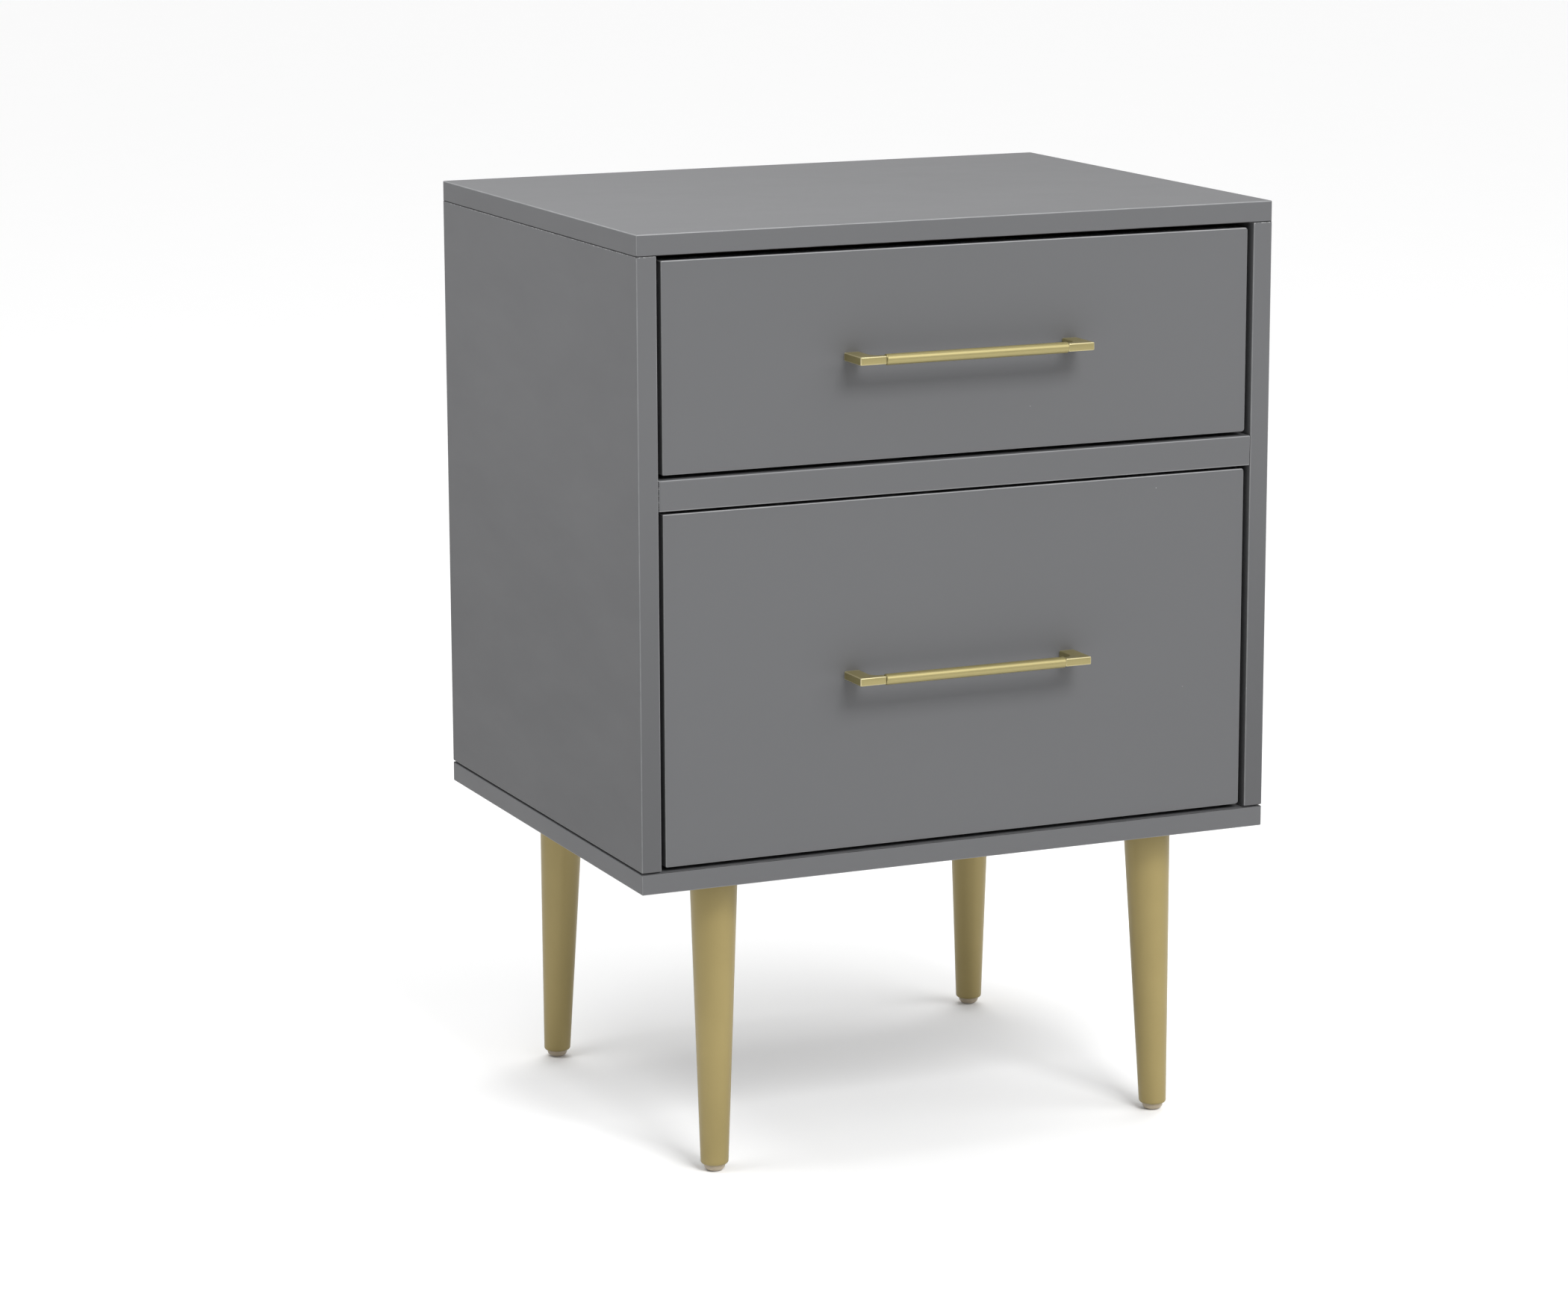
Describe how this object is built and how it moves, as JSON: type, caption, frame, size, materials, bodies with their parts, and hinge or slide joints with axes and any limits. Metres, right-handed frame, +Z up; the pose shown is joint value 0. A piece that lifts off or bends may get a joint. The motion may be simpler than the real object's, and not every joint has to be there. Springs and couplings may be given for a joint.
{
  "type": "nightstand",
  "caption": "Nightstand with inset drawers on full-extension runners, slim bar pulls, and tapered round legs with domed glides.",
  "frame": {"origin": "on the floor, under the centre of the overall footprint, pulls included", "axes": "+X to the right seen from the front, +Y to the back, +Z up"},
  "size_m": [0.5, 0.4165, 0.69],
  "materials": {
    "grey_lacquer": "satin grey lacquer on fibreboard",
    "seam_filler": "painted filler, slightly rough",
    "back_board": "grey lacquered hardboard",
    "leg_gold": "gold lacquer with a fine spray texture",
    "pull_gold": "satin champagne gold",
    "glide_nylon": "milky nylon",
    "box_board": "clear lacquered birch plywood",
    "box_base": "pale faced hardboard",
    "dowel_beech": "bare beech",
    "slide_zinc": "zinc plated sheet",
    "ball_steel": "bright steel",
    "cam_zinc": "die-cast zinc",
    "screw_steel": "zinc plated"
  },
  "bodies": {
    "cabinet": {"top_panel": "grey_lacquer", "bottom_panel": "grey_lacquer", "left_side_panel": "grey_lacquer", "right_side_panel": "grey_lacquer", "back_panel": "back_board", "middle_rail": "grey_lacquer", "rail_seam_bead": "seam_filler", "panel_dowels": "dowel_beech", "cam_locks": "cam_zinc", "cam_bolts": "screw_steel", "cabinet_slide_screws": "screw_steel", "leg_inserts": "screw_steel", "hanger_bolts": "screw_steel", "foot_glides": "glide_nylon", "glide_nails": "screw_steel", "leg_front_left": "leg_gold", "leg_front_right": "leg_gold", "leg_back_left": "leg_gold", "leg_back_right": "leg_gold", "upper_left_cabinet_member": "slide_zinc", "upper_right_cabinet_member": "slide_zinc", "lower_left_cabinet_member": "slide_zinc", "lower_right_cabinet_member": "slide_zinc"},
    "upper_drawer": {"upper_drawer_front": "grey_lacquer", "upper_box_front": "box_board", "upper_box_back": "box_board", "upper_box_bottom": "box_base", "upper_box_left_side": "box_board", "upper_box_right_side": "box_board", "upper_pull_rod": "pull_gold", "upper_pull_left_post": "pull_gold", "upper_pull_right_post": "pull_gold", "upper_pull_screws": "screw_steel", "upper_front_screws": "screw_steel", "upper_box_slide_screws": "screw_steel", "upper_left_drawer_member": "slide_zinc", "upper_right_drawer_member": "slide_zinc"},
    "upper_runners": {"upper_left_middle_member": "slide_zinc", "upper_right_middle_member": "slide_zinc"},
    "upper_outer_cages": {"upper_outer_ball_cages": "ball_steel"},
    "upper_inner_cages": {"upper_inner_ball_cages": "ball_steel"},
    "lower_drawer": {"lower_drawer_front": "grey_lacquer", "lower_box_front": "box_board", "lower_box_back": "box_board", "lower_box_bottom": "box_base", "lower_box_left_side": "box_board", "lower_box_right_side": "box_board", "lower_pull_rod": "pull_gold", "lower_pull_left_post": "pull_gold", "lower_pull_right_post": "pull_gold", "lower_pull_screws": "screw_steel", "lower_front_screws": "screw_steel", "lower_box_slide_screws": "screw_steel", "lower_left_drawer_member": "slide_zinc", "lower_right_drawer_member": "slide_zinc"},
    "lower_runners": {"lower_left_middle_member": "slide_zinc", "lower_right_middle_member": "slide_zinc"},
    "lower_outer_cages": {"lower_outer_ball_cages": "ball_steel"},
    "lower_inner_cages": {"lower_inner_ball_cages": "ball_steel"}
  },
  "joints": [
    {"name": "upper_drawer_slide", "type": "slide", "parent": "cabinet", "child": "upper_drawer", "axis": [0, -1, 0], "range_m": [0, 0.35]},
    {"name": "upper_runners_slide", "type": "slide", "parent": "cabinet", "child": "upper_runners", "axis": [0, -1, 0], "range_m": [0, 0.175]},
    {"name": "upper_outer_cages_slide", "type": "slide", "parent": "cabinet", "child": "upper_outer_cages", "axis": [0, -1, 0], "range_m": [0, 0.0875]},
    {"name": "upper_inner_cages_slide", "type": "slide", "parent": "cabinet", "child": "upper_inner_cages", "axis": [0, -1, 0], "range_m": [0, 0.2625]},
    {"name": "lower_drawer_slide", "type": "slide", "parent": "cabinet", "child": "lower_drawer", "axis": [0, -1, 0], "range_m": [0, 0.35]},
    {"name": "lower_runners_slide", "type": "slide", "parent": "cabinet", "child": "lower_runners", "axis": [0, -1, 0], "range_m": [0, 0.175]},
    {"name": "lower_outer_cages_slide", "type": "slide", "parent": "cabinet", "child": "lower_outer_cages", "axis": [0, -1, 0], "range_m": [0, 0.0875]},
    {"name": "lower_inner_cages_slide", "type": "slide", "parent": "cabinet", "child": "lower_inner_cages", "axis": [0, -1, 0], "range_m": [0, 0.2625]}
  ],
  "couplings": [
    {"joint": "upper_runners_slide", "follows": "upper_drawer_slide", "ratio": 0.5},
    {"joint": "upper_outer_cages_slide", "follows": "upper_drawer_slide", "ratio": 0.25},
    {"joint": "upper_inner_cages_slide", "follows": "upper_drawer_slide", "ratio": 0.75},
    {"joint": "lower_runners_slide", "follows": "lower_drawer_slide", "ratio": 0.5},
    {"joint": "lower_outer_cages_slide", "follows": "lower_drawer_slide", "ratio": 0.25},
    {"joint": "lower_inner_cages_slide", "follows": "lower_drawer_slide", "ratio": 0.75}
  ]
}
